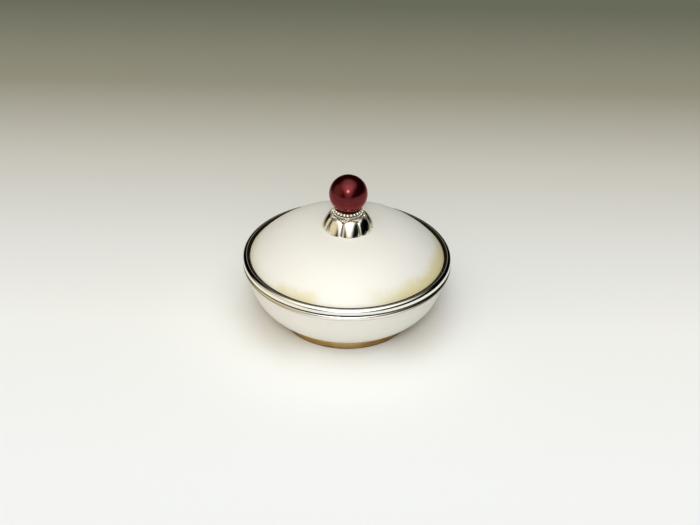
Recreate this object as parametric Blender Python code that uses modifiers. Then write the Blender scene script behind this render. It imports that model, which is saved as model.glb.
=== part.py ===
"""A low round lidded bowl in polished and satin silver, with a red pearl knob in a fluted cap.

Metres, +Z up. The origin is on the ground, at the centre of the foot ring, and every turned piece has its
axis on Z. The lid rests on the bowl and lifts straight up.
"""

from math import atan2, cos, degrees, hypot, pi, radians, sin, sqrt

import bmesh
import bpy

MM = 0.001
GAP = 0.3 * MM              # solder or rest gap between two pieces that touch
BIG_STEPS = 48              # facets round the large turned pieces
SMALL_STEPS = 24            # facets round the knob's turned pieces

# Driving dimensions.
EASE = 0.15 * MM            # bevel on the edges of the fittings
OUTER_RADIUS = 44.0 * MM    # of both half-round rim wires
SEAM_Z = 27.64 * MM         # where the lid's rim wire rests over the bowl's
WALL = 1.0 * MM             # sheet thickness of the bowl and the lid

# Bowl: the outside runs as one curve from the rim wire's lower edge to the foot.
SHOULDER_RADIUS = 43.0 * MM
SHOULDER_Z = 25.0 * MM
SHOULDER_TANGENT = (-3.4 * MM, -12.2 * MM)
FOOT_TOP_RADIUS = 26.4 * MM
FOOT_TOP_Z = 3.12 * MM
FOOT_TANGENT = (11.6 * MM, 6.2 * MM)
FLOOR_RADIUS = 20.0 * MM    # the flat middle of the bowl's floor
FLOOR_Z = 1.5 * MM          # its underside
FLOOR_BLEND_START = (-3.0 * MM, -1.6 * MM)
FLOOR_BLEND_END = (2.4 * MM, 0.0)
NECK_RADIUS = 42.2 * MM     # the wall behind the bowl's rim wire
MOUTH_BEVEL = 0.2 * MM

# Foot ring.
FOOT_RADIUS = 27.4 * MM
FOOT_INNER_RADIUS = 24.4 * MM
FOOT_BEVEL = 0.25 * MM
FOOT_LIP = 0.5 * MM         # how far its top stands out past the bowl's lower edge
FOOT_WAIST = 0.35 * MM      # the same, at the narrow part of its side
FOOT_WAIST_SHARE = 0.45     # height of the narrow part
FOOT_PAD = 0.35 * MM        # height of the upright edge above the bevel
FOOT_CLEARANCE = 1.4 * GAP  # upright clearance between its top and the bowl

# Rim wires. The bowl's is rounded outwards, and the lid's is round on top.
BOWL_WIRE_BOTTOM = 25.15 * MM
LID_WIRE_INNER = 41.2 * MM
LID_WIRE_CENTRE_Z = 28.89 * MM
LID_WIRE_CORNER = 0.2 * MM

# Lid: the dome falls from its apex to its edge, part as a parabola and part as a fourth power.
DOME_APEX_Z = 44.55 * MM
DOME_EDGE_RADIUS = 40.9 * MM
DOME_EDGE_Z = 29.74 * MM
DOME_QUARTIC = 0.62         # share of the fall that follows the fourth power
BEZEL_RADIUS = 40.75 * MM   # the locating strip that drops into the bowl's mouth
BEZEL_WALL = 0.8 * MM
BEZEL_BOTTOM = 24.2 * MM
BEZEL_TOP = 28.8 * MM
BEZEL_LEAD_IN = 0.3 * MM

# Knob, from the dome up. A petal's outline is a stretch of one ellipse.
PETALS = 8
PETAL_TURN = radians(-81.4)    # direction of one petal's centre
PETAL_STEPS = 8                # facets across one petal
PETAL_CENTRE = (2.5 * MM, 38.86 * MM)
PETAL_REACH = (9.32 * MM, 12.87 * MM)
PETAL_FOOT = 25.0              # degrees up the ellipse, where the petals meet the dome
PETAL_CREST = 62.0             # the same at their tops
PETAL_POINTS = 6
PETAL_RELIEF = 1.1 * MM        # depth of the valleys between petals
PETAL_FADE = 0.8               # share of that depth lost by the top
CAP_SEAT = (6.55 * MM, 49.8 * MM)    # edge of the sunk seat inside the petals' tops
CAP_WALL = 1.1 * MM
CAP_ROOF_RADIUS = 6.0 * MM     # the flat part of the cap's hollow
CAP_HOLLOW = (7.4 * MM, 47.2 * MM)
CUP_HEIGHT = 0.7 * MM
CUP_SHOULDER = 0.9 * MM
CUP_LIP = 0.2 * MM
CUP_BORE = 0.5 * MM            # how much wider its hole is than the post's
CUP_GRAINS = 20
GRAIN_RELIEF = 0.2 * MM
BEADS = 24
BEAD_RADIUS = 0.73 * MM
BEAD_RING_RADIUS = 5.37 * MM
BEAD_RING_Z = 51.83 * MM
BEAD_SIDES = 6
BEAD_NECK = 0.32 * MM
PEARL_RADIUS = 8.0 * MM
PEARL_Z = 59.18 * MM
POST_RADIUS = 1.2 * MM
POST_HOLE = 1.5 * MM
POST_TOP = 60.5 * MM
POST_TIP = 0.3 * MM           # bevel at both ends
WASHER_RADIUS = 4.6 * MM
WASHER_THICKNESS = 0.7 * MM
WASHER_TOP = DOME_APEX_Z - WALL - 0.4 * MM
NUT_RADIUS = 3.3 * MM
NUT_HEIGHT = 2.2 * MM
POST_TAIL = 0.8 * MM          # how far the post stands out below the nut


def clear_scene():
    for old in list(bpy.data.objects):
        bpy.data.objects.remove(old, do_unlink=True)


def finish(name, colour, metallic, roughness):
    """A Principled material."""
    material = bpy.data.materials.new(name)
    material.use_nodes = True
    shader = material.node_tree.nodes["Principled BSDF"]
    shader.inputs["Base Color"].default_value = (*colour, 1.0)
    shader.inputs["Metallic"].default_value = metallic
    shader.inputs["Roughness"].default_value = roughness
    material.diffuse_color = (*colour, 1.0)
    return material


def arc(centre, radius_r, radius_z, start, end, count):
    """Points of an elliptical arc in the (r, z) plane, from one angle in degrees to the other."""
    points = []
    for i in range(count):
        angle = radians(start + (end - start) * i / (count - 1))
        points.append((centre[0] + radius_r * cos(angle), centre[1] + radius_z * sin(angle)))
    return points


def bezier(start, handle_a, handle_b, end, count):
    """Points of a cubic curve whose handles are relative to its ends."""
    a = (start[0] + handle_a[0], start[1] + handle_a[1])
    b = (end[0] + handle_b[0], end[1] + handle_b[1])
    points = []
    for i in range(count):
        t = i / (count - 1)
        weights = ((1 - t) ** 3, 3 * t * (1 - t) ** 2, 3 * t * t * (1 - t), t ** 3)
        corners = (start, a, b, end)
        points.append(tuple(sum(w * c[k] for w, c in zip(weights, corners)) for k in (0, 1)))
    return points


def offset(points, distance):
    """The open outline moved to the right of its own direction, which is inwards on an outer side."""
    moved = []
    for i, point in enumerate(points):
        before = points[max(i - 1, 0)]
        after = points[min(i + 1, len(points) - 1)]
        along = (after[0] - before[0], after[1] - before[1])
        length = hypot(*along)
        moved.append((point[0] + distance * along[1] / length, point[1] - distance * along[0] / length))
    return moved


def turned(name, outline, steps, closed=True):
    """A solid turned about Z. The outline runs down its outer side, from axis to axis if open."""
    mesh = bpy.data.meshes.new(name)
    count = len(outline)
    edges = [(i, i + 1) for i in range(count - 1)]
    if closed:
        edges.append((count - 1, 0))
    mesh.from_pydata([(r, 0.0, z) for r, z in outline], edges, [])
    solid = bpy.data.objects.new(name, mesh)
    screw = solid.modifiers.new("Turn", "SCREW")
    screw.axis = "Z"
    screw.angle = 2 * pi
    screw.steps = steps
    screw.render_steps = steps
    screw.use_merge_vertices = True
    screw.merge_threshold = 1e-6
    screw.use_smooth_shade = True
    return solid


def ring_of_sections(name, around, count, section):
    """A torus whose vertex k of the section at each angle is moved to section(angle, k), as (r, z)."""
    major = 10 * MM
    bpy.ops.mesh.primitive_torus_add(
        major_segments=around, minor_segments=count, major_radius=major, minor_radius=1 * MM
    )
    solid = bpy.context.object
    solid.name = name
    for vertex in solid.data.vertices:
        x, y, z = vertex.co
        angle = atan2(y, x)
        k = round(atan2(z, hypot(x, y) - major) / (2 * pi) * count) % count
        r, height = section(angle, k)
        vertex.co = (r * cos(angle), r * sin(angle), height)
    solid.data.shade_smooth()
    return solid


def dome_z(r):
    """Height of the dome's outer face at a radius."""
    share = (r / DOME_EDGE_RADIUS) ** 2
    fall = (1 - DOME_QUARTIC) * share + DOME_QUARTIC * share * share
    return DOME_APEX_Z - (DOME_APEX_Z - DOME_EDGE_Z) * fall


def bowl_body():
    """The spun bowl: a flat floor, one curved wall and a straight neck that the rim wire goes round."""
    shoulder = (SHOULDER_RADIUS, SHOULDER_Z)
    foot_top = (FOOT_TOP_RADIUS, FOOT_TOP_Z)
    wall = bezier(shoulder, SHOULDER_TANGENT, FOOT_TANGENT, foot_top, 11)
    blend = bezier(foot_top, FLOOR_BLEND_START, FLOOR_BLEND_END, (FLOOR_RADIUS, FLOOR_Z), 4)[1:]
    inside = offset(wall[1:] + blend, WALL)
    neck_top = SEAM_Z - GAP / 2
    mouth = NECK_RADIUS - WALL
    outline = [(0.0, FLOOR_Z + WALL)]
    outline += inside[::-1]
    outline += [(mouth, SHOULDER_Z - WALL), (mouth, neck_top - MOUTH_BEVEL)]
    outline += [(mouth + MOUTH_BEVEL, neck_top)]
    outline += [(NECK_RADIUS, neck_top), (NECK_RADIUS, SHOULDER_Z)]
    outline += wall + blend + [(0.0, FLOOR_Z)]
    return turned("bowl_body", outline, BIG_STEPS, closed=False)


def bowl_rim_wire():
    """The half-round wire round the bowl's neck."""
    inner = NECK_RADIUS + GAP
    top = SEAM_Z - GAP / 2
    middle = (BOWL_WIRE_BOTTOM + top) / 2
    bulge = arc((inner, middle), OUTER_RADIUS - inner, (top - BOWL_WIRE_BOTTOM) / 2, 80, -80, 8)
    return turned("bowl_rim_wire", [(inner, top)] + bulge + [(inner, BOWL_WIRE_BOTTOM)], BIG_STEPS)


def foot_ring():
    """The wire that the bowl stands on: flat below, and sloped above to follow the bowl."""
    slope = FOOT_TANGENT[1] / FOOT_TANGENT[0]
    top_inner = FOOT_TOP_Z - (FOOT_TOP_RADIUS - FOOT_INNER_RADIUS) * slope - 2 * GAP
    top_outer = FOOT_TOP_Z + FOOT_LIP * slope - FOOT_CLEARANCE
    outline = [(FOOT_INNER_RADIUS, top_inner), (FOOT_TOP_RADIUS + FOOT_LIP, top_outer)]
    outline += [(FOOT_TOP_RADIUS + FOOT_WAIST, FOOT_WAIST_SHARE * FOOT_TOP_Z)]
    outline += [(FOOT_RADIUS, FOOT_BEVEL + FOOT_PAD), (FOOT_RADIUS, FOOT_BEVEL)]
    outline += [(FOOT_RADIUS - FOOT_BEVEL, 0.0), (FOOT_INNER_RADIUS + FOOT_BEVEL, 0.0)]
    outline += [(FOOT_INNER_RADIUS, FOOT_BEVEL)]
    return turned("foot_ring", outline, BIG_STEPS)


def lid_dome():
    """The domed sheet, with a hole for the knob's post."""
    count = 10
    radii = [POST_HOLE + (DOME_EDGE_RADIUS - POST_HOLE) * i / (count - 1) for i in range(count)]
    outside = [(r, dome_z(r)) for r in radii]
    return turned("lid_dome", outside + offset(outside, WALL)[::-1], BIG_STEPS)


def lid_rim_wire():
    """The round-topped wire soldered round the lid's edge. It rests over the bowl's rim."""
    half = (OUTER_RADIUS - LID_WIRE_INNER) / 2
    bottom = SEAM_Z + GAP / 2
    outline = arc((LID_WIRE_INNER + half, LID_WIRE_CENTRE_Z), half, half, 180, 0, 9)
    outline += [(OUTER_RADIUS - LID_WIRE_CORNER, bottom), (LID_WIRE_INNER, bottom)]
    return turned("lid_rim_wire", outline, BIG_STEPS)


def lid_bezel():
    """The upright strip inside the lid, which drops into the bowl's mouth and centres the lid."""
    inner = BEZEL_RADIUS - BEZEL_WALL
    outline = [(inner, BEZEL_TOP), (BEZEL_RADIUS, BEZEL_TOP)]
    outline += [(BEZEL_RADIUS, BEZEL_BOTTOM + BEZEL_LEAD_IN)]
    outline += [(BEZEL_RADIUS - BEZEL_LEAD_IN, BEZEL_BOTTOM), (inner, BEZEL_BOTTOM)]
    return turned("lid_bezel", outline, BIG_STEPS)


def petal_cap():
    """The fluted cap: one shell of rounded petals with sharp valleys between them, and a sunk seat on top."""
    outline = arc(PETAL_CENTRE, *PETAL_REACH, PETAL_FOOT, PETAL_CREST, PETAL_POINTS)
    roof_z = CAP_SEAT[1] - CAP_WALL
    seat = [CAP_SEAT, (POST_HOLE, CAP_SEAT[1])]
    inside = seat + [(POST_HOLE, roof_z), (CAP_ROOF_RADIUS, roof_z), CAP_HOLLOW]
    foot_inner = outline[0][0] - PETAL_RELIEF - CAP_WALL

    def bulge(angle):
        turn = (angle - PETAL_TURN) * PETALS / (2 * pi)
        across = 2 * (turn - round(turn))
        return sqrt(max(1 - across * across, 0.0))

    def section(angle, k):
        if k < PETAL_POINTS:
            r, z = outline[k]
            depth = PETAL_RELIEF * (1 - PETAL_FADE * k / (PETAL_POINTS - 1))
            r -= depth * (1 - bulge(angle))
            return r, max(z, dome_z(r) + GAP)
        if k < PETAL_POINTS + len(inside):
            return inside[k - PETAL_POINTS]
        return foot_inner, dome_z(foot_inner) + GAP

    return ring_of_sections("petal_cap", PETAL_STEPS * PETALS, PETAL_POINTS + len(inside) + 1, section)


def granulated_cup():
    """The low ring of small grains in the cap's seat, which the beaded ring lies on."""
    low = CAP_SEAT[1] + GAP
    high = low + CUP_HEIGHT
    outer = CAP_SEAT[0] - GAP - GRAIN_RELIEF
    inner = POST_HOLE + CUP_BORE

    def section(angle, k):
        grain = GRAIN_RELIEF * abs(sin(angle * CUP_GRAINS / 2))
        outline = (
            (outer + grain, low + CUP_LIP),
            (outer - CUP_SHOULDER + grain, high),
            (inner, high),
            (inner, low),
            (outer - CUP_LIP + grain, low),
        )
        return outline[k]

    return ring_of_sections("granulated_cup", 4 * CUP_GRAINS, 5, section)


def beaded_ring():
    """The beaded wire under the pearl: a ring of round grains, each joined to the next by a short neck."""
    pitch = 2 * pi / BEADS

    def section(angle, k):
        along = BEAD_RING_RADIUS * (angle - pitch * round(angle / pitch))
        radius = sqrt(max(BEAD_RADIUS ** 2 - along ** 2, BEAD_NECK ** 2))
        turn = 2 * pi * k / BEAD_SIDES
        return BEAD_RING_RADIUS + radius * cos(turn), BEAD_RING_Z + radius * sin(turn)

    return ring_of_sections("beaded_ring", 4 * BEADS, BEAD_SIDES, section)


def pearl():
    """The pearl, half drilled from below for the post."""
    low = degrees_from_axis(POST_HOLE, PEARL_RADIUS)
    outline = arc((0.0, PEARL_Z), PEARL_RADIUS, PEARL_RADIUS, 90, -90 + low, 14)
    outline[0] = (0.0, outline[0][1])
    outline += [(POST_HOLE, POST_TOP + GAP), (0.0, POST_TOP + GAP)]
    return turned("pearl", outline, SMALL_STEPS, closed=False)


def degrees_from_axis(radius, sphere):
    """Angle at a sphere's centre between its axis and a circle of this radius on it."""
    return degrees(atan2(radius, sqrt(sphere ** 2 - radius ** 2)))


def knob_post(bottom):
    """The threaded post, glued into the pearl and held under the lid by a nut."""
    end_radius = POST_RADIUS - POST_TIP
    outline = [(0.0, POST_TOP), (end_radius, POST_TOP), (POST_RADIUS, POST_TOP - POST_TIP)]
    outline += [(POST_RADIUS, bottom + POST_TIP), (end_radius, bottom), (0.0, bottom)]
    return turned("knob_post", outline, SMALL_STEPS, closed=False)


def knob_washer():
    """The washer between the dome's underside and the nut."""
    bottom = WASHER_TOP - WASHER_THICKNESS
    outline = [(POST_HOLE, WASHER_TOP), (WASHER_RADIUS, WASHER_TOP), (WASHER_RADIUS, bottom + EASE)]
    outline += [(WASHER_RADIUS - EASE, bottom), (POST_HOLE, bottom)]
    return turned("knob_washer", outline, SMALL_STEPS)


def knob_nut(top):
    """The hexagon nut, with a plain bore."""
    mesh = bpy.data.meshes.new("knob_nut")
    shape = bmesh.new()
    bmesh.ops.create_cone(
        shape, cap_ends=True, segments=6, radius1=NUT_RADIUS, radius2=NUT_RADIUS, depth=NUT_HEIGHT
    )
    shape.to_mesh(mesh)
    shape.free()
    nut = bpy.data.objects.new("knob_nut", mesh)
    nut.location.z = top - NUT_HEIGHT / 2
    bevel = nut.modifiers.new("Edges", "BEVEL")
    bevel.width = EASE
    bevel.segments = 1
    return nut


def nut_drill(nut):
    """The cutter for the nut's bore."""
    mesh = bpy.data.meshes.new("nut_drill")
    shape = bmesh.new()
    bmesh.ops.create_cone(
        shape, cap_ends=True, segments=SMALL_STEPS, radius1=POST_HOLE, radius2=POST_HOLE,
        depth=2 * NUT_HEIGHT,
    )
    shape.to_mesh(mesh)
    shape.free()
    drill = bpy.data.objects.new("nut_drill", mesh)
    drill.location = nut.location
    drill.hide_render = True
    drill.display_type = "WIRE"
    cut = nut.modifiers.new("Bore", "BOOLEAN")
    cut.operation = "DIFFERENCE"
    cut.solver = "EXACT"
    cut.object = drill
    return drill


def build():
    clear_scene()
    parts = bpy.data.collections.new("lidded_bowl")
    cutters = bpy.data.collections.new("cutters")
    for collection in (parts, cutters):
        bpy.context.scene.collection.children.link(collection)

    polished = finish("polished_silver", (0.93, 0.90, 0.82), 1.0, 0.06)
    satin = finish("satin_silver", (0.90, 0.88, 0.80), 1.0, 0.32)
    hardware = finish("plain_silver", (0.78, 0.76, 0.70), 1.0, 0.25)
    red_pearl = finish("red_pearl", (0.25, 0.02, 0.03), 0.4, 0.2)

    nut_top = WASHER_TOP - WASHER_THICKNESS - GAP
    nut = knob_nut(nut_top)
    pieces = [
        (bowl_body(), satin),
        (bowl_rim_wire(), polished),
        (foot_ring(), polished),
        (lid_dome(), satin),
        (lid_rim_wire(), polished),
        (lid_bezel(), hardware),
        (petal_cap(), polished),
        (granulated_cup(), polished),
        (beaded_ring(), polished),
        (pearl(), red_pearl),
        (knob_post(nut_top - NUT_HEIGHT - POST_TAIL), hardware),
        (knob_washer(), hardware),
        (nut, hardware),
    ]
    cutters.objects.link(nut_drill(nut))
    lid_lift = bpy.data.objects.new("lid_lift", None)
    lid_lift.location.z = SEAM_Z
    parts.objects.link(lid_lift)
    bpy.context.view_layer.update()
    on_bowl = ("bowl_body", "bowl_rim_wire", "foot_ring")
    for piece, material in pieces:
        for collection in list(piece.users_collection):
            collection.objects.unlink(piece)
        parts.objects.link(piece)
        piece.data.materials.clear()
        piece.data.materials.append(material)
        if piece.name not in on_bowl:
            piece.parent = lid_lift
            piece.matrix_parent_inverse = lid_lift.matrix_world.inverted()
    for cutter in cutters.objects:
        cutter.parent = lid_lift
        cutter.matrix_parent_inverse = lid_lift.matrix_world.inverted()


build()
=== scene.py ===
"""A low lidded silver bowl with a red pearl knob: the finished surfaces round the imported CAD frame.

Metres, +Z up, the origin under the centre of the foot ring. Each CAD node is stood for by one finer piece of
the same size, which rides on the same body.
"""

from math import asin, atan2, cos, degrees, exp, hypot, pi, radians, sin, sqrt, tan

import bpy
from mathutils import Matrix, Vector


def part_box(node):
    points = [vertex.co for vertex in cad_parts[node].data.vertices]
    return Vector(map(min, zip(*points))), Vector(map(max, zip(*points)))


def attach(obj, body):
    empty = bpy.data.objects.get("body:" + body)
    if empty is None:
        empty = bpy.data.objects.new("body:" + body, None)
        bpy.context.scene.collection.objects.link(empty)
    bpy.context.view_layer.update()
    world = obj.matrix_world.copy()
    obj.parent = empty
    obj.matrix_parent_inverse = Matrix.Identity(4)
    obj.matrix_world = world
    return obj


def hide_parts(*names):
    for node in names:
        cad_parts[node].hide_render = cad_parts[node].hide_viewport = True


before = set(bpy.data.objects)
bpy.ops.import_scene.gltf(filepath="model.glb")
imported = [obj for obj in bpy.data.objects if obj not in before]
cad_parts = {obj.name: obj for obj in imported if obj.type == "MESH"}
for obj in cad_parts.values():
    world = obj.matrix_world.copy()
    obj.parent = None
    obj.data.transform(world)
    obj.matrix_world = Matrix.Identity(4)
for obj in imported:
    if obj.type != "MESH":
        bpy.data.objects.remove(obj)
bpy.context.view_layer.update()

MM = 0.001

# Fineness of the meshes.
RING_STEPS = 160              # round the large turned pieces
KNOB_STEPS = 96               # round the knob's turned pieces
PETAL_STEPS = 40              # across each petal, and up it
POST_STEPS = 40
GRAIN_STEPS = (12, 8)         # round a granule, and down it
BEAD_STEPS = (28, 18)
WALL_POINTS = 48
BLEND_POINTS = 12             # from the wall into the floor
FLOOR_RINGS = 6
HALF_ROUND_POINTS = 30
CROWN_POINTS = 34
FOOT_POINTS = 14
DOME_POINTS = 56
COLLAR_POINTS = 10
CORE_POINTS = 13
PEARL_POINTS = 64
THREAD_SLICES = 8             # in one turn of the thread
SHANK_SLICES = 60
SHARP = radians(38)           # corners over this stay crisp
NIL = 1e-9                    # radii under this are on the axis


def box(node):
    """Lowest z, highest z and outer radius of a CAD node."""
    low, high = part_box(node)
    return low.z, high.z, high.x


BODY_LOW, NECK_TOP, _ = box("bowl_body")
BOWL_WIRE_LOW, BOWL_WIRE_HIGH, OUTER_RADIUS = box("bowl_rim_wire")
LID_WIRE_LOW, _, _ = box("lid_rim_wire")
_, DOME_TOP, _ = box("lid_dome")
BEZEL_LOW, BEZEL_HIGH, BEZEL_RADIUS = box("lid_bezel")
_, CAP_TOP, _ = box("petal_cap")
CUP_LOW, CUP_TOP, CUP_OUTER = box("granulated_cup")
BEAD_LOW, BEAD_HIGH, _ = box("beaded_ring")
_, PEARL_HIGH, PEARL_RADIUS = box("pearl")
POST_LOW, POST_HIGH, POST_RADIUS = box("knob_post")
WASHER_LOW, WASHER_HIGH, WASHER_RADIUS = box("knob_washer")
NUT_LOW, NUT_HIGH, NUT_RADIUS = box("knob_nut")

# Bowl, in the CAD's own measures.
WALL = 1.0 * MM
GAP = 0.3 * MM                # between neighbouring pieces
SHOULDER = (43.0 * MM, 25.0 * MM)
SHOULDER_HANDLE = (-3.4 * MM, -12.2 * MM)
FOOT_TOP = (26.4 * MM, 3.12 * MM)
FOOT_HANDLE = (11.6 * MM, 6.2 * MM)
FLOOR_RADIUS = 20.0 * MM
BLEND_HANDLES = ((-3.0 * MM, -1.6 * MM), (2.4 * MM, 0.0))
INSIDE_START = 3              # wall points above where the inside joins the mouth
NECK_RADIUS = 42.2 * MM
MOUTH_EASE = 0.18 * MM
HALF_ROUND = 84.0             # degrees either side of level that the half-round wire's arc spans
FOOT_RADIUS = 27.4 * MM
FOOT_INNER = 24.4 * MM
FOOT_LIP = 0.5 * MM           # the foot's top beyond where it meets the bowl
FOOT_LAND = 0.45 * MM         # height of its upright base
FOOT_SIDE_HANDLES = ((-0.45 * MM, -0.9 * MM), (-0.1 * MM, 1.0 * MM))
FOOT_EASE = 0.28 * MM
FOOT_GAPS = (2.0, 1.4)        # clear of the bowl at the foot's inner and outer top edges, in gaps

# Lid.
DOME_APEX = 44.55 * MM
DOME_EDGE_RADIUS = 40.9 * MM
DOME_EDGE_Z = 29.74 * MM
DOME_QUARTIC = 0.62           # share of the dome's fall that goes with the fourth power of the radius
LID_WIRE_INNER = 41.2 * MM
LID_WIRE_CENTRE_Z = 28.89 * MM
WIRE_EASE = 0.22 * MM
WIRE_CORNER = 40.0            # degrees
EDGE_EASE = 0.12 * MM         # on sheet edges and the pearl's hole
BEZEL_WALL = 0.8 * MM
# The rolled bead on the bezel's lower edge: (inset, height over the edge).
BEZEL_BEAD = (
    (0.0, 1.1 * MM),
    (0.14 * MM, 0.95 * MM),
    (0.14 * MM, 0.8 * MM),
    (0.02 * MM, 0.6 * MM),
    (0.3 * MM, 0.0),
)

# Knob.
POST_HOLE = 1.5 * MM
PETALS = 8
PETAL_TURN = radians(-81.4)   # direction of one petal's centre
PETAL_RADIUS = 2.5 * MM       # centre of the ellipse that a petal's outline follows
PETAL_REACH = (9.32 * MM, 12.87 * MM)
PETAL_FOOT = radians(25.0)    # from here on the ellipse, where the petals meet the dome
PETAL_CREST = radians(62.0)   # to here, at their tops
PETAL_RELIEF = 1.1 * MM       # from the crest of a petal down to the valley beside it
PETAL_RELIEF_TOP = 0.50 * MM  # the same round the petals' tops
PETAL_ARCH = 0.72             # share of the height where a petal starts to close into its round top
PETAL_ROUND = 2.2             # 2 is a round petal, and more is a flatter one
CAP_SEAT = (6.55 * MM, 49.8 * MM)
CAP_SEAT_FILLET = 0.3 * MM
CAP_HOLLOW = (7.4 * MM, 47.2 * MM)
CAP_ROOF_RADIUS = 6.0 * MM
CAP_WALL = 1.1 * MM
CUP_BORE = POST_HOLE + 0.5 * MM
GRAIN = 0.27 * MM             # radius of a granule
GRAIN_PITCH = 2.04 * GRAIN    # along a row
GRAIN_ROW = 1.72 * GRAIN      # from row to row
GRAIN_PROUD = 0.75 * GRAIN    # a granule's centre over the cap
GRAIN_CLEAR = 1.06            # granules keep this far from a petal's middle, where its outline is at 1
COLLAR_ROW_RADIUS = 6.08 * MM
COLLAR_ROW_RISE = 0.04 * MM
BEADS = 24
BEAD_RADIUS = 0.73 * MM
BEAD_RING_RADIUS = 5.37 * MM
BEAD_NECK = 0.32 * MM
THREAD_PITCH = 0.45 * MM
THREAD_DEPTH = 0.14 * MM
THREAD_RISE = 1.5 * MM        # thread above the dome's top
POST_LEAD = 0.3 * MM          # taper at the post's ends
WASHER_EASE = 0.16 * MM
NUT_SINK = 0.25 * MM
NUT_TURN_BACK = radians(30)   # slope of its turned-back corners
NUT_FACE = 0.97               # radius of its flat faces, as a share of the width across flats


# Mesh tools.

def arc(centre, radius_r, radius_z, start, end, count):
    """Points of an elliptical arc in the (r, z) plane, from one angle in degrees to the other."""
    turns = [radians(start + (end - start) * i / (count - 1)) for i in range(count)]
    return [(centre[0] + radius_r * cos(t), centre[1] + radius_z * sin(t)) for t in turns]


def bezier(start, handle_a, handle_b, end, count):
    """Points of a cubic curve whose handles are relative to its ends."""
    corners = (
        start,
        (start[0] + handle_a[0], start[1] + handle_a[1]),
        (end[0] + handle_b[0], end[1] + handle_b[1]),
        end,
    )
    points = []
    for i in range(count):
        t = i / (count - 1)
        weights = ((1 - t) ** 3, 3 * t * (1 - t) ** 2, 3 * t * t * (1 - t), t ** 3)
        points.append(tuple(sum(w * c[k] for w, c in zip(weights, corners)) for k in (0, 1)))
    return points


def offset(points, distance):
    """The open outline moved to the right of its own direction."""
    moved = []
    for i, point in enumerate(points):
        before = points[max(i - 1, 0)]
        after = points[min(i + 1, len(points) - 1)]
        along = (after[0] - before[0], after[1] - before[1])
        length = hypot(*along)
        moved.append((point[0] + distance * along[1] / length, point[1] - distance * along[0] / length))
    return moved


def eased(points, radius, closed=True, count=5, least=25.0):
    """The outline with each corner that turns more than the least angle, in degrees, rounded."""
    result = []
    total = len(points)
    for i, point in enumerate(points):
        if not closed and i in (0, total - 1):
            result.append(point)
            continue
        before = Vector(points[i - 1]) - Vector(point)
        after = Vector(points[(i + 1) % total]) - Vector(point)
        turn = degrees((-before).angle(after))
        if turn < least:
            result.append(point)
            continue
        reach = min(radius * tan(radians(turn / 2)), 0.45 * before.length, 0.45 * after.length)
        start = Vector(point) + before.normalized() * reach
        end = Vector(point) + after.normalized() * reach
        for k in range(count):
            t = k / (count - 1)
            bent = start * (1 - t) ** 2 + Vector(point) * 2 * t * (1 - t) + end * t * t
            result.append(tuple(bent))
    return result


def new_piece(name, points, faces, material, body, node, slot):
    """A mesh piece that stands for a CAD node and rides on its body."""
    mesh = bpy.data.meshes.new(name)
    mesh.from_pydata(points, [], faces)
    mesh.validate()
    mesh.shade_smooth()
    mesh.set_sharp_from_angle(angle=SHARP)
    mesh.materials.append(material)
    piece = bpy.data.objects.new(name, mesh)
    bpy.context.scene.collection.objects.link(piece)
    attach(piece, body)
    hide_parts(node)
    return piece


def loft(section, steps, closed=True):
    """(points, faces) round Z.

    section(angle) lists (r, z) down the outer side. An open one starts and ends on the axis.
    """
    points = []
    rings = []
    sections = [section(2 * pi * k / steps) for k in range(steps)]
    for i in range(len(sections[0])):
        if sections[0][i][0] < NIL:
            rings.append([len(points)])
            points.append((0.0, 0.0, sections[0][i][1]))
            continue
        rings.append(list(range(len(points), len(points) + steps)))
        for k in range(steps):
            angle = 2 * pi * k / steps
            r, z = sections[k][i]
            points.append((r * cos(angle), r * sin(angle), z))
    faces = []
    pairs = list(zip(rings, rings[1:]))
    if closed:
        pairs.append((rings[-1], rings[0]))
    for upper, lower in pairs:
        for k in range(steps):
            j = (k + 1) % steps
            if len(upper) == 1 and len(lower) == 1:
                continue
            if len(upper) == 1:
                faces.append((upper[0], lower[k], lower[j]))
            elif len(lower) == 1:
                faces.append((upper[k], lower[0], upper[j]))
            else:
                faces.append((upper[k], lower[k], lower[j], upper[j]))
    return points, faces


def turned(outline, steps, closed=True):
    """(points, faces) of one outline turned round Z."""
    return loft(lambda angle: outline, steps, closed)


def add_balls(points, faces, centres, radius, steps):
    """Adds small round grains to a mesh."""
    around, up = steps
    for x, y, z in centres:
        first = len(points)
        points.append((x, y, z + radius))
        for i in range(1, up):
            polar = pi * i / up
            for k in range(around):
                turn = 2 * pi * k / around
                points.append((
                    x + radius * sin(polar) * cos(turn),
                    y + radius * sin(polar) * sin(turn),
                    z + radius * cos(polar),
                ))
        last = len(points)
        points.append((x, y, z - radius))
        for k in range(around):
            j = (k + 1) % around
            faces.append((first, first + 1 + k, first + 1 + j))
            for i in range(up - 2):
                a = first + 1 + i * around
                b = a + around
                faces.append((a + k, b + k, b + j, a + j))
            a = first + 1 + (up - 2) * around
            faces.append((a + k, last, a + j))


# Shapes.

def dome_z(r):
    """Height of the dome's outer face at a radius."""
    share = (r / DOME_EDGE_RADIUS) ** 2
    fall = (1 - DOME_QUARTIC) * share + DOME_QUARTIC * share * share
    return DOME_APEX - (DOME_APEX - DOME_EDGE_Z) * fall


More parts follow.
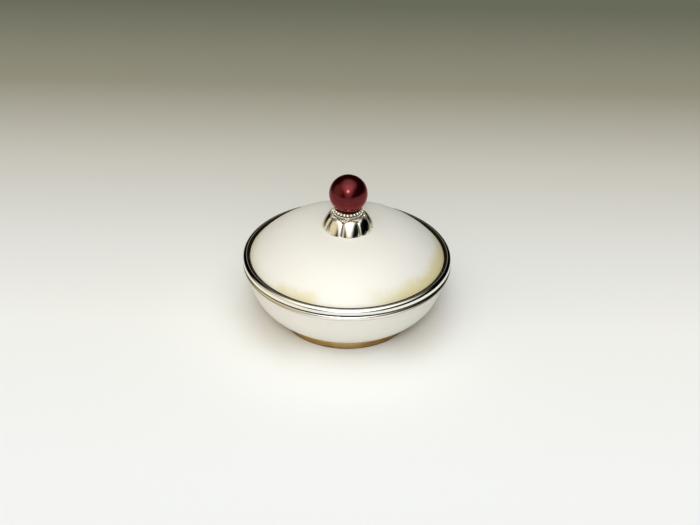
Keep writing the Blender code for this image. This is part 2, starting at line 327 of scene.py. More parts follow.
def bowl_body():
    """The spun bowl, from the middle of its floor up the inside, over the mouth and down the outside."""
    wall = bezier(SHOULDER, SHOULDER_HANDLE, FOOT_HANDLE, FOOT_TOP, WALL_POINTS)
    blend = bezier(wall[-1], *BLEND_HANDLES, (FLOOR_RADIUS, BODY_LOW), BLEND_POINTS)[1:]
    inside = offset(wall[INSIDE_START:] + blend, WALL)
    mouth = NECK_RADIUS - WALL
    rim = eased([
        (mouth, SHOULDER[1] - WALL),
        (mouth, NECK_TOP),
        (NECK_RADIUS, NECK_TOP),
        (NECK_RADIUS, SHOULDER[1]),
        SHOULDER,
    ], MOUTH_EASE, closed=False)
    rings = [FLOOR_RADIUS * k / FLOOR_RINGS for k in range(FLOOR_RINGS)]
    above = [(r, BODY_LOW + WALL) for r in rings]
    under = [(r, BODY_LOW) for r in reversed(rings)]
    return turned(above + inside[::-1] + rim + wall[1:] + blend + under, RING_STEPS, closed=False)


def bowl_wire():
    """The half-round wire round the bowl's neck, flat against it."""
    middle = (BOWL_WIRE_LOW + BOWL_WIRE_HIGH) / 2
    half = (BOWL_WIRE_HIGH - BOWL_WIRE_LOW) / 2
    inner = NECK_RADIUS + GAP
    bulge = arc((inner, middle), OUTER_RADIUS - inner, half, HALF_ROUND, -HALF_ROUND, HALF_ROUND_POINTS)
    return turned([(inner, BOWL_WIRE_HIGH)] + bulge + [(inner, BOWL_WIRE_LOW)], RING_STEPS)


def foot_ring():
    """The wire foot, flat below and sloped above to follow the bowl."""
    slope = FOOT_HANDLE[1] / FOOT_HANDLE[0]
    top_inner = FOOT_TOP[1] - (FOOT_TOP[0] - FOOT_INNER) * slope - FOOT_GAPS[0] * GAP
    top_outer = FOOT_TOP[1] + FOOT_LIP * slope - FOOT_GAPS[1] * GAP
    corner = (FOOT_TOP[0] + FOOT_LIP, top_outer)
    side = bezier(corner, *FOOT_SIDE_HANDLES, (FOOT_RADIUS, FOOT_LAND), FOOT_POINTS)
    outline = [(FOOT_INNER, top_inner)] + side + [(FOOT_RADIUS, 0.0), (FOOT_INNER, 0.0)]
    return turned(eased(outline, FOOT_EASE), RING_STEPS)


def lid_dome():
    """The domed sheet with the hole for the knob's post."""
    span = DOME_EDGE_RADIUS - POST_HOLE
    radii = [POST_HOLE + span * i / (DOME_POINTS - 1) for i in range(DOME_POINTS)]
    outside = [(r, dome_z(r)) for r in radii]
    return turned(eased(outside + offset(outside, WALL)[::-1], EDGE_EASE), RING_STEPS)


def lid_wire():
    """The round-topped wire round the lid's edge, with the flat that rests over the bowl."""
    half = (OUTER_RADIUS - LID_WIRE_INNER) / 2
    crown = arc((LID_WIRE_INNER + half, LID_WIRE_CENTRE_Z), half, half, 180, 0, CROWN_POINTS)
    outline = crown + [(OUTER_RADIUS, LID_WIRE_LOW), (LID_WIRE_INNER, LID_WIRE_LOW)]
    return turned(eased(outline, WIRE_EASE, least=WIRE_CORNER), RING_STEPS)


def lid_bezel():
    """The locating strip inside the lid, with a shallow bead rolled round its lower edge."""
    inner = BEZEL_RADIUS - BEZEL_WALL
    outer_side = [(BEZEL_RADIUS - inset, BEZEL_LOW + height) for inset, height in BEZEL_BEAD]
    outline = [(inner, BEZEL_HIGH), (BEZEL_RADIUS, BEZEL_HIGH)] + outer_side + [(inner, BEZEL_LOW)]
    return turned(eased(outline, EDGE_EASE), RING_STEPS)


def petal_share(angle):
    """Place across a petal: 0 on its middle line and -1 or 1 in the valleys beside it."""
    turn = (angle - PETAL_TURN) * PETALS / (2 * pi)
    return 2 * (turn - round(turn))


def petal_distance(across, up):
    """1 on the outline of a petal, less on it and more between the round tops."""
    closing = max(0.0, up - PETAL_ARCH) / (1 - PETAL_ARCH)
    return sqrt(across * across + closing * closing)


PETAL_CENTRE_Z = CAP_TOP - PETAL_REACH[1] * sin(PETAL_CREST)


def cap_point(angle, up, lift=0.0):
    """(r, z) on the cap. up goes from 0 at the dome to 1 at the petals' tops, and lift is off the surface."""
    rise = PETAL_FOOT + (PETAL_CREST - PETAL_FOOT) * up
    away = petal_distance(petal_share(angle), up)
    swell = max(1 - away ** PETAL_ROUND, 0.0) ** (1 / PETAL_ROUND)
    relief = PETAL_RELIEF + (PETAL_RELIEF_TOP - PETAL_RELIEF) * up
    r = PETAL_RADIUS + PETAL_REACH[0] * cos(rise)
    z = PETAL_CENTRE_Z + PETAL_REACH[1] * sin(rise)
    across_r = cos(rise) / PETAL_REACH[0]
    across_z = sin(rise) / PETAL_REACH[1]
    length = hypot(across_r, across_z)
    sunk = lift - relief * (1 - swell)
    return r + sunk * across_r / length, z + sunk * across_z / length


def petal_cap():
    """The fluted cap: rounded petals that close into round tops, round a sunk seat."""
    foot_inner = cap_point(PETAL_TURN + pi / PETALS, 0.0)[0] - CAP_WALL

    def section(angle):
        outer = []
        for i in range(PETAL_STEPS):
            r, z = cap_point(angle, 1 - i / (PETAL_STEPS - 1))
            outer.append((r, max(z, dome_z(r) + 0.5 * GAP)))
        roof_z = CAP_SEAT[1] - CAP_WALL
        inside = [(foot_inner, dome_z(foot_inner) + 0.5 * GAP), CAP_HOLLOW]
        inside += [(CAP_ROOF_RADIUS, roof_z), (POST_HOLE, roof_z)]
        seat = [(POST_HOLE, CAP_SEAT[1]), (CAP_SEAT[0] - CAP_SEAT_FILLET, CAP_SEAT[1])]
        return seat + outer + inside

    return loft(section, PETALS * PETAL_STEPS)


# Painted shade on the knob's silver, in the petals' valleys, on the ring under the beads and between the
# beads, kept on each piece's own points.

PAINTED_SHADE_MARK = "valley"
ARCH_MARK = 0.28              # width of the dark line over a petal, in petal_distance
SIDE_MARK = 0.10              # and down its sides
COLLAR_MARK = 0.7
NECK_MARK = 0.12              # width of the dark neck between two beads, as a share of their pitch
TOUCH = 0.02 * MM


def mark_points(piece, darkening):
    """Stores darkening(x, y, z), the painted shade, on each point of a piece."""
    marks = piece.data.attributes.new(PAINTED_SHADE_MARK, "FLOAT", "POINT")
    for point, mark in zip(piece.data.vertices, marks.data):
        mark.value = darkening(*point.co)


def valley_painted_shade(x, y, z):
    """Painted shade: how near a point of the cap is to the edge between a petal and the valley."""
    lean = min(max((z - PETAL_CENTRE_Z) / PETAL_REACH[1], 0.0), 1.0)
    up = (asin(lean) - PETAL_FOOT) / (PETAL_CREST - PETAL_FOOT)
    away = petal_distance(petal_share(atan2(y, x)), up)
    width = ARCH_MARK if up > PETAL_ARCH else SIDE_MARK
    return exp(-((away - 1.0) / width) ** 2)


def collar_painted_shade(x, y, z):
    """Painted shade, even on the low ring under the beads, and none on its grains."""
    return COLLAR_MARK if z < CUP_TOP + TOUCH and hypot(x, y) < CUP_OUTER else 0.0


def neck_painted_shade(x, y, z):
    """Painted shade, darkest halfway between two beads."""
    away = abs(atan2(y, x) * BEADS / (2 * pi) % 1.0 - 0.5)
    return exp(-(away / NECK_MARK) ** 2)


# More shapes of the knob.

def round_row(radius, z, count, shift=0.0):
    """Evenly spaced places round Z."""
    turns = [2 * pi * (k + shift) / count for k in range(count)]
    return [(radius * cos(turn), radius * sin(turn), z) for turn in turns]


def grain_count(radius):
    """How many granules go round at a radius."""
    return int(2 * pi * radius / GRAIN_PITCH)


def granules():
    """The low ring under the beads, with fine grains on it and in rows down between the petals' tops."""
    collar = arc((CUP_BORE, CUP_LOW), CUP_OUTER - CUP_BORE, CUP_TOP - CUP_LOW, 90, 0, COLLAR_POINTS)
    points, faces = turned([(CUP_BORE, CUP_TOP)] + collar[1:] + [(CUP_BORE, CUP_LOW)], KNOB_STEPS)
    centres = round_row(COLLAR_ROW_RADIUS, CUP_TOP + COLLAR_ROW_RISE, grain_count(COLLAR_ROW_RADIUS))
    slope_length = 0.5 * (PETAL_REACH[0] + PETAL_REACH[1]) * (PETAL_CREST - PETAL_FOOT)
    rows = int(slope_length * (1 - PETAL_ARCH) / GRAIN_ROW) + 1
    for i in range(rows):
        up = 1.0 - i * GRAIN_ROW / slope_length
        count = grain_count(cap_point(PETAL_TURN + pi / PETALS, up)[0])
        for k in range(count):
            angle = 2 * pi * (k + 0.5 * (i % 2)) / count
            if petal_distance(petal_share(angle), up) < GRAIN_CLEAR:
                continue
            r, z = cap_point(angle, up, GRAIN_PROUD)
            centres.append((r * cos(angle), r * sin(angle), z))
    add_balls(points, faces, centres, GRAIN, GRAIN_STEPS)
    return points, faces


def beads():
    """The beaded wire: round beads on a thin core."""
    z = (BEAD_LOW + BEAD_HIGH) / 2
    core = arc((BEAD_RING_RADIUS, z), BEAD_NECK, BEAD_NECK, 180, -180, CORE_POINTS)[:-1]
    points, faces = turned(core, KNOB_STEPS)
    add_balls(points, faces, round_row(BEAD_RING_RADIUS, z, BEADS), BEAD_RADIUS, BEAD_STEPS)
    return points, faces


def pearl():
    """The pearl, half drilled from below for its post."""
    centre = PEARL_HIGH - PEARL_RADIUS
    hole = degrees(atan2(POST_HOLE, sqrt(PEARL_RADIUS ** 2 - POST_HOLE ** 2)))
    outside = arc((0.0, centre), PEARL_RADIUS, PEARL_RADIUS, 90, -90 + hole, PEARL_POINTS)
    outside[0] = (0.0, outside[0][1])
    drilled = [(POST_HOLE, POST_HIGH + GAP), (0.0, POST_HIGH + GAP)]
    lip = eased(outside[-2:] + drilled, EDGE_EASE, closed=False)
    return turned(outside[:-1] + lip[1:], KNOB_STEPS, closed=False)


def knob_post():
    """The post, with a rolled thread on the part that goes through the lid and a plain end in the pearl."""
    thread_top = DOME_TOP + THREAD_RISE
    shank = POST_HIGH - thread_top
    heights = []
    z = POST_LOW
    while z < thread_top:
        heights.append(z)
        z += THREAD_PITCH / THREAD_SLICES
    heights += [thread_top + shank * k / SHANK_SLICES for k in range(SHANK_SLICES + 1)]

    def section(angle):
        outline = [(0.0, POST_HIGH)]
        for height in reversed(heights):
            r = POST_RADIUS
            if height < thread_top:
                phase = (height / THREAD_PITCH + angle / (2 * pi)) % 1.0
                runout = min(1.0, (thread_top - height) / THREAD_PITCH)
                r -= THREAD_DEPTH * runout * abs(2 * phase - 1)
            from_end = min(height - POST_LOW, POST_HIGH - height)
            r -= max(0.0, POST_LEAD - from_end)
            outline.append((r, height))
        outline.append((0.0, POST_LOW))
        return outline

    return loft(section, POST_STEPS, closed=False)


def knob_washer():
    """A flat washer with rolled-over edges."""
    outline = [(POST_HOLE, WASHER_HIGH), (WASHER_RADIUS, WASHER_HIGH)]
    outline += [(WASHER_RADIUS, WASHER_LOW), (POST_HOLE, WASHER_LOW)]
    return turned(eased(outline, WASHER_EASE, count=6), KNOB_STEPS)


def knob_nut():
    """The hexagon nut, with its corners turned back at both ends and a countersunk bore."""
    flat = NUT_RADIUS * cos(pi / 6)
    face = NUT_FACE * flat
    sunk = POST_HOLE + NUT_SINK

    def section(angle):
        out = min(flat / cos((angle % (pi / 3)) - pi / 6), NUT_RADIUS)
        drop = max(0.0, out - face) * tan(NUT_TURN_BACK)
        top = [(POST_HOLE, NUT_HIGH - NUT_SINK), (sunk, NUT_HIGH), (face, NUT_HIGH), (out, NUT_HIGH - drop)]
        low = [(out, NUT_LOW + drop), (face, NUT_LOW), (sunk, NUT_LOW), (POST_HOLE, NUT_LOW + NUT_SINK)]
        return top + low

    return loft(section, KNOB_STEPS)


# Materials.

NOISE_RANGE = (0.3, 0.7)      # where nearly all of a noise node's values lie
FADE_START = 0.5              # of a stain's half width, where it starts to fade
FADE_END = 1.3                # and where it is gone


class Shade:
    """A material's nodes, made one call at a time. place, radius, angle and z are the point's own."""

    def __init__(self, name, metallic, ior=1.45):
        self.material = bpy.data.materials.new(name)
        self.material.use_nodes = True
        self.tree = self.material.node_tree
        self.shader = self.tree.nodes["Principled BSDF"]
        self.fix("Metallic", metallic)
        self.fix("IOR", ior)
        self.place = self.tree.nodes.new("ShaderNodeTexCoord").outputs["Object"]
        self.x, self.y, self.z = self.parts(self.place)
        x_squared = self.math("MULTIPLY", self.x, self.x)
        y_squared = self.math("MULTIPLY", self.y, self.y)
        self.radius = self.math("SQRT", self.math("ADD", x_squared, y_squared))
        self.angle = self.math("ARCTAN2", self.y, self.x)

    def fix(self, name, value):
        """Sets a value that is the same all over on the shader's own socket."""
        self.shader.inputs[name].default_value = value

    def drive(self, name, value):
        """Links a value that varies to the shader's socket."""
        self.put(self.shader.inputs[name], value)

    def put(self, socket, value):
        """Links a node's output to a socket, or sets a plain value there."""
        if isinstance(value, bpy.types.NodeSocket):
            self.tree.links.new(value, socket)
        else:
            socket.default_value = value

    def math(self, operation, a, b=0.0):
        node = self.tree.nodes.new("ShaderNodeMath")
        node.operation = operation
        self.put(node.inputs[0], a)
        self.put(node.inputs[1], b)
        return node.outputs[0]

    def parts(self, vector):
        node = self.tree.nodes.new("ShaderNodeSeparateXYZ")
        self.put(node.inputs[0], vector)
        return node.outputs

    def stretched(self, *terms):
        """A vector from three (value, scale) pairs."""
        node = self.tree.nodes.new("ShaderNodeCombineXYZ")
        for socket, (value, scale) in zip(node.inputs, terms):
            self.put(socket, self.math("MULTIPLY", value, scale))
        return node.outputs[0]

    def noise(self, vector, scale=1.0, detail=3.0, rough=0.5, distortion=0.0):
        node = self.tree.nodes.new("ShaderNodeTexNoise")
        self.put(node.inputs["Vector"], vector)
        node.inputs["Scale"].default_value = scale
        node.inputs["Detail"].default_value = detail
        node.inputs["Roughness"].default_value = rough
        node.inputs["Distortion"].default_value = distortion
        return node.outputs["Fac"]

    def span(self, value, low, high, to_low=0.0, to_high=1.0, smooth=True):
        """value taken from the range low..high to the range to_low..to_high."""
        node = self.tree.nodes.new("ShaderNodeMapRange")
        node.interpolation_type = "SMOOTHSTEP" if smooth else "LINEAR"
        self.put(node.inputs["Value"], value)
        for name, number in (("From Min", low), ("From Max", high), ("To Min", to_low), ("To Max", to_high)):
            self.put(node.inputs[name], number)
        return node.outputs[0]

    def mixed(self, share, a, b):
        node = self.tree.nodes.new("ShaderNodeMix")
        node.data_type = "RGBA"
        self.put(node.inputs[0], share)
        for socket, value in ((node.inputs[6], a), (node.inputs[7], b)):
            self.put(socket, value if isinstance(value, bpy.types.NodeSocket) else (*value, 1.0))
        return node.outputs[2]

    def bump(self, height, distance, strength=1.0):
        node = self.tree.nodes.new("ShaderNodeBump")
        node.inputs["Strength"].default_value = strength
        node.inputs["Distance"].default_value = distance
        self.put(node.inputs["Height"], height)
        if self.shader.inputs["Normal"].is_linked:
            self.put(node.inputs["Normal"], self.shader.inputs["Normal"].links[0].from_socket)
        self.drive("Normal", node.outputs[0])

    def hollow(self, low, high):
        """1 where the surface is dished, and 0 where it is flat or bulges."""
        geometry = self.tree.nodes.new("ShaderNodeNewGeometry")
        return self.span(geometry.outputs["Pointiness"], low, high, 1.0, 0.0)

    def towards(self, turn, half, strength=1.0):
        """strength in the direction turn from +X, fading about half to each side of it, in degrees."""
        along_x = self.math("MULTIPLY", self.x, cos(radians(turn)))
        along_y = self.math("MULTIPLY", self.y, sin(radians(turn)))
        facing = self.math("DIVIDE", self.math("ADD", along_x, along_y), self.radius)
        gone = cos(radians(FADE_END * half))
        full = cos(radians(FADE_START * half))
        return self.span(facing, gone, full, 0.0, strength)


SILVER = (0.955, 0.925, 0.845)
WARM_SILVER = (0.96, 0.905, 0.77)
FROSTED = (0.785, 0.756, 0.688)
STRAW = (0.68, 0.60, 0.34)
TARNISH = (0.13, 0.085, 0.035)
# Painted shadow: black for the seam between the two rim wires.
SEAM_SHADOW_BLACK = (0.011, 0.008, 0.003)
# Painted shade: black for the knob's petal valleys and crevices.
VALLEY_SHADE_BLACK = (0.022, 0.011, 0.004)
# The foot's brown is partly tarnish and partly painted reflection of the shaded ground; its near-black is
# painted contact shadow.
FOOT_TARNISH_AND_REFLECTION = (0.410, 0.232, 0.053)
FOOT_STRAW = (0.64, 0.52, 0.28)
FOOT_CONTACT_SHADOW = (0.12, 0.08, 0.035)
FILED_SILVER = (0.80, 0.78, 0.71)
FILED_STAIN = (0.50, 0.42, 0.28)
PEARL_TOP = (0.104, 0.0018, 0.0040)
# The pearl's lighter red underside is painted reflection of the dome below.
PEARL_UNDER_REFLECTION = (0.200, 0.0085, 0.0110)
PEARL_CLOUD = (0.125, 0.0050, 0.0080)
PEARL_BAND = (0.035, 0.0012, 0.0030)
PEARL_TINT = (1.0, 0.25, 0.20, 1.0)

SATIN_ROUGHNESS = 0.48
SATIN_METALLIC = 0.04
POLISHED_ROUGHNESS = 0.07
PETAL_ROUGHNESS = 0.13

# Straw patches on the dome's edge. The two in front, at -121 and -28 degrees, are partly stain and partly
# painted reflection of warm dark surroundings; the two behind are stains.
# Columns: direction from +X, half width, both in degrees, strength, and the radii between which they fade in.
EDGE_STAINS_AND_REFLECTIONS = (
    (-121.0, 14.0, 0.84, 37.0 * MM, 40.9 * MM),
    (-28.0, 42.0, 1.0, 35.2 * MM, 39.9 * MM),
    (40.0, 55.0, 0.65, 37.0 * MM, 40.6 * MM),
    (165.0, 50.0, 0.45, 37.0 * MM, 40.9 * MM),
)
RIM_STAIN = (39.4 * MM, 41.0 * MM, 0.0, 0.35)    # the faint one all round: radii, and strengths there
STAIN_RAGGED = 0.9 * MM
STAIN_HEIGHTS = (28.0 * MM, 29.5 * MM)           # only the dome's outer face is stained
# Painted reflections on the bowl's wire, olive on its left and near-black on its right: direction, half
# width, height they reach, colour.
WIRE_PAINTED_REFLECTIONS = (
    (-148.0, 34.0, 27.0 * MM, (0.42, 0.34, 0.16)),
    (-12.0, 44.0, 28.0 * MM, (0.05, 0.035, 0.02)),
)
SEAM_REACH = (0.36 * MM, 0.66 * MM)              # painted shadow above and below the joint of the two wires
FLANK_RADII = (42.25 * MM, 42.6 * MM)            # painted dark reflection on the lid wire's inner flank
FLANK_HEIGHTS = (28.5 * MM, 29.0 * MM)
SOLDER_TURN = radians(97.0)                      # where the wires are joined end to end
SOLDER_WIDTH = 0.006                             # radians


def satin_silver():
    """Silver with a fine frosted grain, faint lathe lines and straw-coloured patches by the rim wire: stains,
    and in front partly painted reflection.
    """
    shade = Shade("frosted_silver", SATIN_METALLIC)
    cloud = shade.noise(shade.place, scale=95.0, detail=4.0, rough=0.55)
    grain = shade.noise(shade.place, scale=5200.0, detail=2.0, rough=0.6)
    drawn = shade.stretched((shade.radius, 5200.0), (shade.angle, 1.6), (shade.z, 5200.0))
    lines = shade.noise(drawn, detail=2.0, rough=0.5)

    ragged = shade.math("ADD", shade.radius, shade.span(cloud, *NOISE_RANGE, -STAIN_RAGGED, STAIN_RAGGED))
    stain_and_reflection = shade.span(shade.radius, *RIM_STAIN)
    # The straw patches in front are partly painted reflection; the rest are stains.
    for turn, half, strength, inner, outer in EDGE_STAINS_AND_REFLECTIONS:
        lobe = shade.math("MULTIPLY", shade.towards(turn, half, strength), shade.span(ragged, inner, outer))
        stain_and_reflection = shade.math("MAXIMUM", stain_and_reflection, lobe)
    stain_and_reflection = shade.math("MULTIPLY", stain_and_reflection, shade.span(shade.z, *STAIN_HEIGHTS))
    colour = shade.mixed(shade.span(cloud, 0.55, 0.8, 0.0, 0.06), FROSTED, STRAW)
    shade.drive("Base Color", shade.mixed(stain_and_reflection, colour, STRAW))

    clouded = shade.span(cloud, *NOISE_RANGE, SATIN_ROUGHNESS - 0.03, SATIN_ROUGHNESS + 0.03)
    lined = shade.span(lines, *NOISE_RANGE, -0.02, 0.02)
    shade.drive("Roughness", shade.math("ADD", clouded, lined))
    shade.bump(grain, 0.004 * MM, 0.35)
    shade.bump(lines, 0.003 * MM, 0.30)
    return shade.material


def wire_painted_dark(shade, colour):
    """(colour, share of painted dark) for the two rim wires: painted shadow black in the seam between them,
    painted dark reflection on the lid wire's inner flank, and painted reflections on the bowl's wire, olive
    on its left and near-black on its right.
    """
    seam_z = (BOWL_WIRE_HIGH + LID_WIRE_LOW) / 2
    apart = shade.math("ABSOLUTE", shade.math("SUBTRACT", shade.z, seam_z))
    # Painted shadow in the seam between the two wires.
    seam = shade.span(apart, *SEAM_REACH, 1.0, 0.0)
    # Painted dark reflection on the lid wire's inner flank.
    flank = shade.math("MULTIPLY", shade.span(shade.radius, *FLANK_RADII, 1.0, 0.0),
                       shade.span(shade.z, *FLANK_HEIGHTS))
    painted_dark_share = shade.math("MAXIMUM", seam, flank)
    colour = shade.mixed(painted_dark_share, colour, SEAM_SHADOW_BLACK)
    # Painted reflections on the bowl's wire: olive on the left, near-black on the right.
    for turn, half, top, tint in WIRE_PAINTED_REFLECTIONS:
        low = shade.span(shade.z, top - 0.5 * MM, top + 0.1 * MM, 1.0, 0.0)
        colour = shade.mixed(shade.math("MULTIPLY", shade.towards(turn, half), low), colour, tint)
    return colour, painted_dark_share


def knob_tarnish_and_shade(shade, colour):
    """(colour, share of painted dark) for the knob's silver: brown tarnish in hollows, and black painted
    shade where marked.
    """
    colour = shade.mixed(shade.math("MULTIPLY", shade.hollow(0.40, 0.485), 0.8), colour, TARNISH)
    # Painted shade stored on the points: the petal valleys, the ring under the beads, and between the beads.
    shade_mark = shade.tree.nodes.new("ShaderNodeAttribute")
    shade_mark.attribute_name = PAINTED_SHADE_MARK
    painted_dark_share = shade_mark.outputs["Fac"]
    return shade.mixed(painted_dark_share, colour, VALLEY_SHADE_BLACK), painted_dark_share


def polished_silver(name, base, roughness, darkening):
    """Mirror-bright silver with hairline scratches, a solder line and its own darkening: tarnish, painted
    shade and painted reflection.
    """
    shade = Shade(name, 1.0)
    cloud = shade.noise(shade.place, scale=140.0, detail=4.0, rough=0.55)
    drawn = shade.stretched((shade.angle, 2.5), (shade.radius, 3600.0), (shade.z, 3600.0))
    hairs = shade.noise(drawn, detail=2.0, rough=0.6, distortion=0.3)
    off_solder = shade.math("ABSOLUTE", shade.math("SUBTRACT", shade.angle, SOLDER_TURN))
    solder = shade.span(off_solder, 0.0, SOLDER_WIDTH, 1.0, 0.0)
    colour = shade.mixed(shade.span(cloud, 0.5, 0.8, 0.0, 0.16), base, STRAW)
    colour = shade.mixed(shade.math("MULTIPLY", solder, 0.35), colour, TARNISH)
    colour, painted_dark_share = darkening(shade, colour)
    shade.drive("Base Color", colour)
    # Where painted shade and reflection are marked, the silver is dull, not metallic.
    shade.drive("Metallic", shade.math("SUBTRACT", 1.0, painted_dark_share))
    shade.fix("Specular IOR Level", 0.0)

    rough = shade.math("ADD", shade.span(cloud, *NOISE_RANGE, roughness - 0.02, roughness + 0.03),
                       shade.math("MULTIPLY", solder, 0.2))
    shade.drive("Roughness", shade.math("ADD", rough, shade.span(hairs, 0.62, 0.75, 0.0, 0.05)))
    shade.bump(hairs, 0.0012 * MM, 0.35)
    return shade.material


def foot_silver():
    """The foot's tarnished silver, straw at its top; the brown lower down is partly tarnish and partly
    painted reflection of the shaded ground, and the near-black where it meets the ground is painted contact
    shadow.
    """
    shade = Shade("foot_silver", 0.45)
    cloud = shade.noise(shade.place, scale=160.0, detail=4.0, rough=0.6)
    drawn = shade.stretched((shade.angle, 3.0), (shade.radius, 2400.0), (shade.z, 2400.0))
    hairs = shade.noise(drawn, detail=2.0, rough=0.6, distortion=0.3)
    height = shade.math("ADD", shade.z, shade.span(cloud, *NOISE_RANGE, -0.25 * MM, 0.25 * MM))
    # Brown lower down: partly painted reflection of the shaded ground.
    colour = shade.mixed(shade.span(height, 1.2 * MM, 2.9 * MM), FOOT_TARNISH_AND_REFLECTION, FOOT_STRAW)
    # Near-black at the ground: painted contact shadow.
    colour = shade.mixed(shade.span(height, 0.1 * MM, 0.9 * MM, 1.0, 0.0), colour, FOOT_CONTACT_SHADOW)
    shade.drive("Base Color", colour)
    shade.drive("Roughness", shade.span(cloud, *NOISE_RANGE, 0.34, 0.46))
    shade.bump(hairs, 0.0015 * MM, 0.35)
    return shade.material


def filed_silver():
    """Working silver of the hidden fittings: filed, duller and a little tarnished."""
    shade = Shade("filed_silver", 1.0)
    cloud = shade.noise(shade.place, scale=320.0, detail=5.0, rough=0.6)
    drawn = shade.stretched((shade.angle, 6.0), (shade.radius, 900.0), (shade.z, 4200.0))
    file_marks = shade.noise(drawn, detail=3.0, rough=0.6)
    colour = shade.mixed(shade.span(cloud, 0.45, 0.75, 0.0, 0.55), FILED_SILVER, FILED_STAIN)
    colour = shade.mixed(shade.math("MULTIPLY", shade.hollow(0.40, 0.49), 0.7), colour, TARNISH)
    shade.drive("Base Color", colour)
    filed = shade.span(file_marks, *NOISE_RANGE, -0.04, 0.06)
    shade.drive("Roughness", shade.math("ADD", shade.span(cloud, *NOISE_RANGE, 0.22, 0.36), filed))
    shade.bump(file_marks, 0.006 * MM, 0.4)
    return shade.material


def red_pearl():
    """Dyed pearl: a deep red body, lighter red towards its underside as painted reflection of the dome below,
    under a thin lustrous skin.
    """
    shade = Shade("dyed_pearl", 0.92, 1.5)
    cloud = shade.noise(shade.place, scale=260.0, detail=4.0, rough=0.6, distortion=0.6)
    layered = shade.stretched((shade.x, 60.0), (shade.y, 60.0), (shade.z, 420.0))
    bands = shade.noise(layered, detail=3.0, rough=0.5, distortion=0.4)
    middle = PEARL_HIGH - PEARL_RADIUS
    # Lighter red below: painted reflection of the dome.
    low = shade.span(shade.z, middle - 0.9 * PEARL_RADIUS, middle + 0.35 * PEARL_RADIUS, 1.0, 0.0)
    colour = shade.mixed(low, PEARL_TOP, PEARL_UNDER_REFLECTION)
    colour = shade.mixed(shade.span(cloud, 0.32, 0.68, 0.0, 0.30), colour, PEARL_CLOUD)
    colour = shade.mixed(shade.span(bands, 0.45, 0.75, 0.0, 0.35), colour, PEARL_BAND)
    shade.drive("Base Color", colour)
    shade.drive("Roughness", shade.span(cloud, *NOISE_RANGE, 0.24, 0.30))
    shade.fix("Specular IOR Level", 0.12)
    shade.fix("Specular Tint", PEARL_TINT)
    shade.fix("Coat Weight", 0.50)
    shade.fix("Coat Roughness", 0.13)
    shade.fix("Coat IOR", 1.46)
    shade.bump(shade.noise(shade.place, scale=900.0), 0.006 * MM, 0.25)
    return shade.material


SATIN = satin_silver()
POLISHED = polished_silver("bright_silver", SILVER, POLISHED_ROUGHNESS, wire_painted_dark)
PETAL = polished_silver("petal_silver", WARM_SILVER, PETAL_ROUGHNESS, knob_tarnish_and_shade)
FOOT = foot_silver()
FILED = filed_silver()
PEARL = red_pearl()


# Pieces: name, shape, material, body, the CAD node it stands for, that node's slot, painted shade on its
# points.

PIECES = (
    ("bowl_shell", bowl_body, SATIN, "bowl", "bowl_body", "satin_silver", None),
    ("bowl_wire", bowl_wire, POLISHED, "bowl", "bowl_rim_wire", "polished_silver", None),
    ("foot", foot_ring, FOOT, "bowl", "foot_ring", "polished_silver", None),
    ("lid_shell", lid_dome, SATIN, "lid", "lid_dome", "satin_silver", None),
    ("lid_wire", lid_wire, POLISHED, "lid", "lid_rim_wire", "polished_silver", None),
    ("bezel_strip", lid_bezel, FILED, "lid", "lid_bezel", "plain_silver", None),
    ("petals", petal_cap, PETAL, "lid", "petal_cap", "polished_silver", valley_painted_shade),
    ("granules", granules, PETAL, "lid", "granulated_cup", "polished_silver", collar_painted_shade),
    ("beads", beads, PETAL, "lid", "beaded_ring", "polished_silver", neck_painted_shade),
    ("pearl_knob", pearl, PEARL, "lid", "pearl", "red_pearl", None),
    ("threaded_post", knob_post, FILED, "lid", "knob_post", "plain_silver", None),
    ("washer", knob_washer, FILED, "lid", "knob_washer", "plain_silver", None),
    ("hex_nut", knob_nut, FILED, "lid", "knob_nut", "plain_silver", None),
)
for name, shape, material, body, node, slot, darkening in PIECES:
    points, faces = shape()
    piece = new_piece(name, points, faces, material, body, node, slot)
    if darkening:
        mark_points(piece, darkening)


# Floor.

FLOOR_HALF = 6.0
FLOOR_NEAR, FLOOR_FAR = -0.15, 0.40
# Painted falloff of light: the floor darkens to grey far behind the bowl.
FLOOR_PAINTED_FALLOFF = (
    # distance behind the bowl's centre in metres, colour
    (-0.114, (0.888, 0.888, 0.885)),
    (-0.010, (0.855, 0.847, 0.807)),
    (0.055, (0.73, 0.72, 0.686)),
    (0.130, (0.565, 0.539, 0.485)),
    (0.219, (0.283, 0.266, 0.202)),
    (0.328, (0.135, 0.138, 0.100)),
)
FLOOR_SHADOW_TINT = (0.46, 0.36, 0.22)                      # painted warm shadow on the floor close beside the bowl
FLOOR_SHADOW_REACH = (34.0 * MM, 52.0 * MM, 0.26, 0.0)      # radii, and shares of the tint there
FLOOR_SHADOW_SIDES = (0.35, 0.85)                           # only to the bowl's left and right: |x| / radius


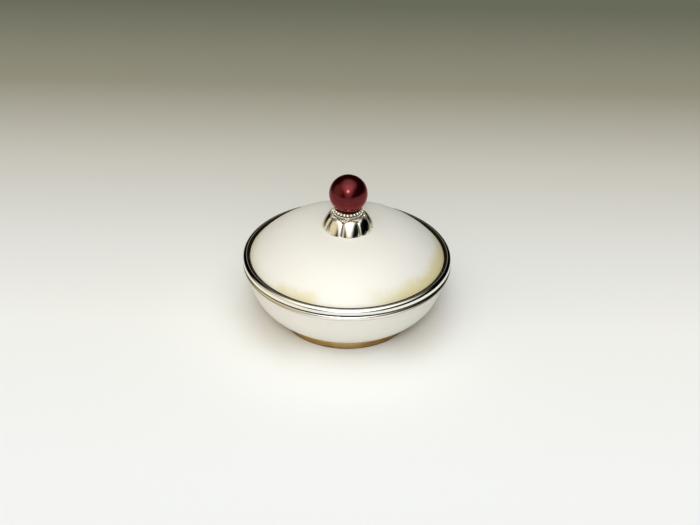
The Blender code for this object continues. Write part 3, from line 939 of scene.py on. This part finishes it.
def floor():
    """A pale sweep on the ground, darkened to grey far behind the bowl by painted falloff of light, with a
    painted warm shadow close beside the bowl.
    """
    h = FLOOR_HALF
    mesh = bpy.data.meshes.new("floor")
    mesh.from_pydata([(-h, -h, 0.0), (h, -h, 0.0), (h, h, 0.0), (-h, h, 0.0)], [], [(0, 1, 2, 3)])
    shade = Shade("floor", 0.0)
    ramp = shade.tree.nodes.new("ShaderNodeValToRGB")
    shade.put(ramp.inputs[0], shade.span(shade.y, FLOOR_NEAR, FLOOR_FAR, smooth=False))
    stops = ramp.color_ramp.elements
    for place, colour in FLOOR_PAINTED_FALLOFF:
        stop = stops.new((place - FLOOR_NEAR) / (FLOOR_FAR - FLOOR_NEAR))
        stop.color = (*colour, 1.0)
    stops.remove(stops[0])
    stops.remove(stops[-1])
    # Painted warm shadow on the floor close beside the bowl, to its left and right.
    sideways = shade.math("DIVIDE", shade.math("ABSOLUTE", shade.x), shade.radius)
    painted_shadow = shade.math("MULTIPLY", shade.span(sideways, *FLOOR_SHADOW_SIDES), shade.span(shade.radius, *FLOOR_SHADOW_REACH))
    shade.drive("Base Color", shade.mixed(painted_shadow, ramp.outputs[0], FLOOR_SHADOW_TINT))
    shade.drive("Roughness", shade.span(shade.noise(shade.place, scale=60.0), *NOISE_RANGE, 0.86, 0.94))
    shade.fix("Specular IOR Level", 0.1)
    shade.bump(shade.noise(shade.place, scale=1500.0), 0.02 * MM, 0.2)
    mesh.materials.append(shade.material)
    ground = bpy.data.objects.new("floor", mesh)
    bpy.context.scene.collection.objects.link(ground)


floor()


# Light.

SOFT_LIGHTS = (
    # azimuth, elevation, radius of the even part, radius of the soft edge, all in degrees, and colour
    (0.0, 34.0, 12.0, 34.0, (0.68, 0.66, 0.65)),
    (0.0, 8.0, 10.0, 26.0, (0.52, 0.50, 0.47)),
    (0.0, 56.0, 14.0, 42.0, (0.82, 0.88, 0.97)),
    (12.0, 84.0, 12.0, 51.0, (1.44, 1.47, 1.40)),
    (-75.0, 22.0, 12.0, 44.0, (0.76, 0.67, 0.49)),
    (-2.0, 42.0, 4.0, 8.0, (22.0, 22.1, 22.8)),
)


def direction(azimuth, elevation):
    """A unit direction: azimuth in degrees from the front (-Y), positive to the right (+X)."""
    turn, rise = radians(azimuth), radians(elevation)
    return (sin(turn) * cos(rise), -cos(turn) * cos(rise), sin(rise))


def studio():
    """Soft studio light: a tall soft light in front that reaches overhead, in an otherwise dark room."""
    world = bpy.data.worlds.new("studio")
    bpy.context.scene.world = world
    world.use_nodes = True
    tree = world.node_tree
    place = tree.nodes.new("ShaderNodeTexCoord").outputs["Generated"]

    def vector_node(operation, first, second):
        node = tree.nodes.new("ShaderNodeVectorMath")
        node.operation = operation
        for socket, value in ((node.inputs[0], first), (node.inputs[1], second)):
            if isinstance(value, bpy.types.NodeSocket):
                tree.links.new(value, socket)
            elif value is not None:
                socket.default_value = value
        return node

    total = None
    for azimuth, elevation, even, edge, colour in SOFT_LIGHTS:
        facing = vector_node("DOT_PRODUCT", place, direction(azimuth, elevation))
        soft = tree.nodes.new("ShaderNodeMapRange")
        soft.interpolation_type = "SMOOTHSTEP"
        tree.links.new(facing.outputs["Value"], soft.inputs["Value"])
        soft.inputs["From Min"].default_value = cos(radians(edge))
        soft.inputs["From Max"].default_value = cos(radians(even))
        scaled = vector_node("SCALE", colour, None)
        tree.links.new(soft.outputs[0], scaled.inputs["Scale"])
        light = scaled.outputs[0]
        total = light if total is None else vector_node("ADD", total, light).outputs[0]
    tree.links.new(total, tree.nodes["Background"].inputs["Color"])


studio()
bpy.context.scene.view_settings.view_transform = "Standard"


# Camera.

CAMERA_LENS = 85.0            # millimetres
CAMERA_SENSOR = 36.0          # millimetres
CAMERA_CLIP = (0.01, 50.0)
CAMERA_PITCH = radians(32.467)
CAMERA_ROLL = radians(1.297)
CAMERA_PLACE = Vector((0.00132, -0.59106, 0.40155))


def camera():
    """The camera, in front of the bowl and looking down on it."""
    data = bpy.data.cameras.new("camera")
    data.lens = CAMERA_LENS
    data.sensor_width = CAMERA_SENSOR
    data.clip_start, data.clip_end = CAMERA_CLIP
    eye = bpy.data.objects.new("camera", data)
    bpy.context.scene.collection.objects.link(eye)
    forward = Matrix.Rotation(pi / 2 - CAMERA_PITCH, 4, "X")
    eye.matrix_world = Matrix.Translation(CAMERA_PLACE) @ forward @ Matrix.Rotation(CAMERA_ROLL, 4, "Z")
    bpy.context.scene.camera = eye


camera()
